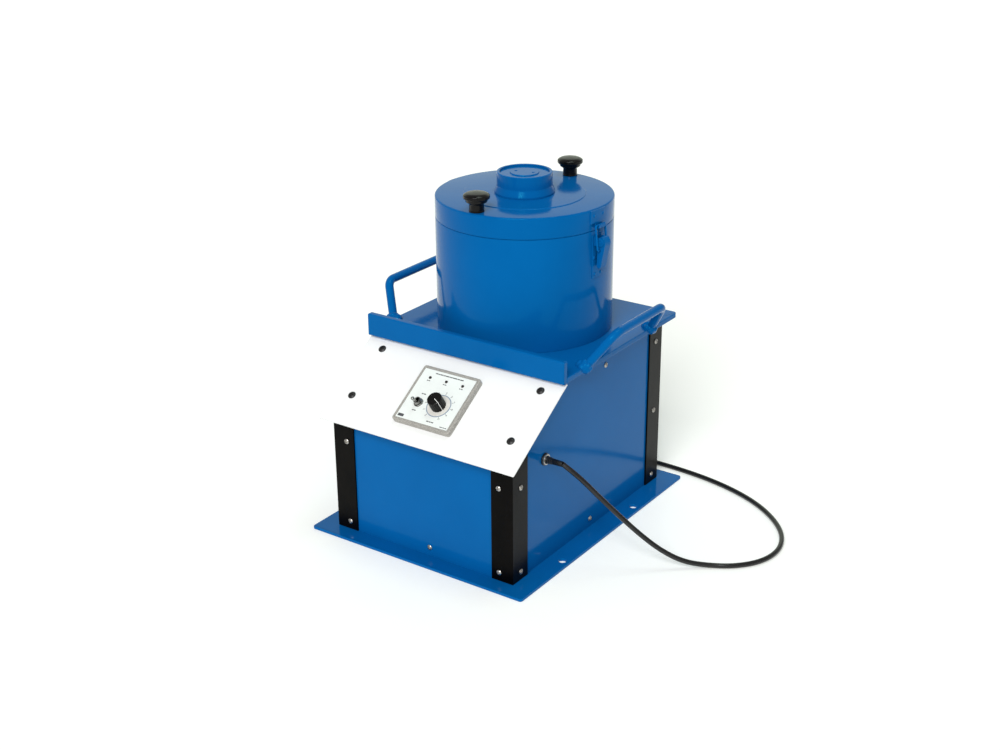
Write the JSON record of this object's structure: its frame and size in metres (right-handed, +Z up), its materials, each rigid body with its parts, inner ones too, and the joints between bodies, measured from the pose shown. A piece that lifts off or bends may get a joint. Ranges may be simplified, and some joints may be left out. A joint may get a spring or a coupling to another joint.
{
  "type": "vibratory rock tumbler",
  "caption": "Bench vibratory tumbler: latched round drum on a sheet-metal cabinet with carry handles and a sloping control panel.",
  "frame": {"origin": "middle of the base plate's underside, on the surface the machine stands on", "axes": "+X to the machine's right seen from its control panel, +Y to its back, +Z up along the drum's axis"},
  "size_m": [0.7223, 0.6525, 0.588],
  "materials": {
    "blue_enamel": "gloss blue enamel",
    "black_paint": "satin black paint",
    "white_panel": "satin white",
    "grey_casting": "rough cast, pale grey",
    "faceplate": "printed label",
    "zinc_steel": "zinc plated",
    "black_screw": "black oxide",
    "black_phenolic": "moulded black",
    "chrome": "bright plated",
    "lamp_lens": "translucent red",
    "cord_rubber": "black sheath",
    "seal_rubber": "grey black rubber",
    "liner_rubber": "soft brown liner",
    "galvanised": "plain sheet steel",
    "spring_steel": "oiled spring steel",
    "motor_paint": "grey machine paint",
    "copper_iron": "laminations and windings",
    "bearing_steel": "ground"
  },
  "bodies": {
    "cabinet": {"base_plate": "blue_enamel", "base_rails": "galvanised", "cabinet_screws": "zinc_steel", "cable_gland": "cord_rubber", "carry_handle_left": "blue_enamel", "carry_handle_right": "blue_enamel", "control_panel": "white_panel", "control_panel_screws": "black_screw", "cord_coil": "cord_rubber", "deck_lip": "blue_enamel", "deck_plate": "blue_enamel", "drum_bolts": "zinc_steel", "drum_shell": "blue_enamel", "front_panel": "blue_enamel", "indicator_lamps": "lamp_lens", "internal_wiring": "cord_rubber", "latch_base_rivets": "blue_enamel", "latch_bases": "blue_enamel", "latch_pivot_pins": "blue_enamel", "left_panel": "blue_enamel", "mains_cord": "cord_rubber", "mains_plug": "cord_rubber", "post_front_left": "black_paint", "post_front_right": "black_paint", "post_rear_left": "black_paint", "post_rear_right": "black_paint", "rear_panel": "blue_enamel", "right_panel": "blue_enamel", "speed_drive_bezel": "grey_casting", "speed_drive_case": "galvanised", "speed_drive_faceplate": "faceplate", "speed_potentiometer": "black_phenolic", "spring_seats": "galvanised", "suspension_springs": "spring_steel", "toggle_switch_body": "chrome", "upper_rails": "galvanised"},
    "lid": {"drum_lid": "blue_enamel", "lid_gasket": "seal_rubber", "filler_neck": "blue_enamel", "lid_knobs": "black_phenolic", "lid_knob_screws": "zinc_steel", "latch_keepers": "blue_enamel", "keeper_rivets": "blue_enamel"},
    "filler_plug": {"filler_plug": "blue_enamel"},
    "latch_lever_right": {"latch_lever_right": "blue_enamel"},
    "latch_lever_left": {"latch_lever_left": "blue_enamel"},
    "latch_bail_right": {"latch_bail_right": "blue_enamel"},
    "latch_bail_left": {"latch_bail_left": "blue_enamel"},
    "speed_knob": {"speed_knob": "black_phenolic"},
    "toggle_lever": {"toggle_lever": "chrome"},
    "bowl": {"vibrating_plate": "galvanised", "tumbling_bowl": "galvanised", "bowl_liner": "liner_rubber", "bowl_hold_down": "zinc_steel", "motor_housing": "motor_paint", "motor_stator": "copper_iron", "motor_pillars": "galvanised", "motor_bearings": "bearing_steel"},
    "rotor": {"motor_rotor": "bearing_steel", "eccentric_weights": "motor_paint"}
  },
  "joints": [
    {"name": "lid_lift", "type": "slide", "parent": "cabinet", "child": "lid", "axis": [0, 0, 1], "range_m": [0, 0.12]},
    {"name": "filler_plug_lift", "type": "slide", "parent": "lid", "child": "filler_plug", "axis": [0, 0, 1], "range_m": [0, 0.06]},
    {"name": "latch_right_lever", "type": "hinge", "parent": "cabinet", "child": "latch_lever_right", "pos_m": [0.1616, 0.0587, 0.497], "axis": [-0.0698, -0.9976, 0], "range_deg": [0, 150]},
    {"name": "latch_right_bail", "type": "hinge", "parent": "latch_lever_right", "child": "latch_bail_right", "pos_m": [0.15961, 0.05884, 0.483], "axis": [-0.0698, -0.9976, 0], "range_deg": [-300, 0]},
    {"name": "latch_left_lever", "type": "hinge", "parent": "cabinet", "child": "latch_lever_left", "pos_m": [-0.1616, 0.0813, 0.497], "axis": [0.0698, 0.9976, 0], "range_deg": [0, 150]},
    {"name": "latch_left_bail", "type": "hinge", "parent": "latch_lever_left", "child": "latch_bail_left", "pos_m": [-0.15961, 0.08116, 0.483], "axis": [0.0698, 0.9976, 0], "range_deg": [-300, 0]},
    {"name": "speed_knob_turn", "type": "hinge", "parent": "cabinet", "child": "speed_knob", "pos_m": [0.0127, -0.20104, 0.27072], "axis": [0, -0.549, 0.8358], "range_deg": [-33, 267]},
    {"name": "toggle_throw", "type": "hinge", "parent": "cabinet", "child": "toggle_lever", "pos_m": [-0.0258, -0.19974, 0.262], "axis": [-1, 0, 0], "range_deg": [0, 36]},
    {"name": "bowl_bounce", "type": "slide", "parent": "cabinet", "child": "bowl", "axis": [0, 0, 1], "range_m": [-0.004, 0.004], "stiffness_N_per_m": 60000, "springref_m": 0.00327, "deforming": ["suspension_springs"]},
    {"name": "motor_spin", "type": "hinge", "parent": "bowl", "child": "rotor", "pos_m": [0, 0.07, 0.25], "axis": [0, 0, 1], "continuous": true}
  ],
  "couplings": [
    {"joint": "latch_right_bail", "follows": "latch_right_lever", "ratio": -2},
    {"joint": "latch_left_bail", "follows": "latch_left_lever", "ratio": -2}
  ]
}
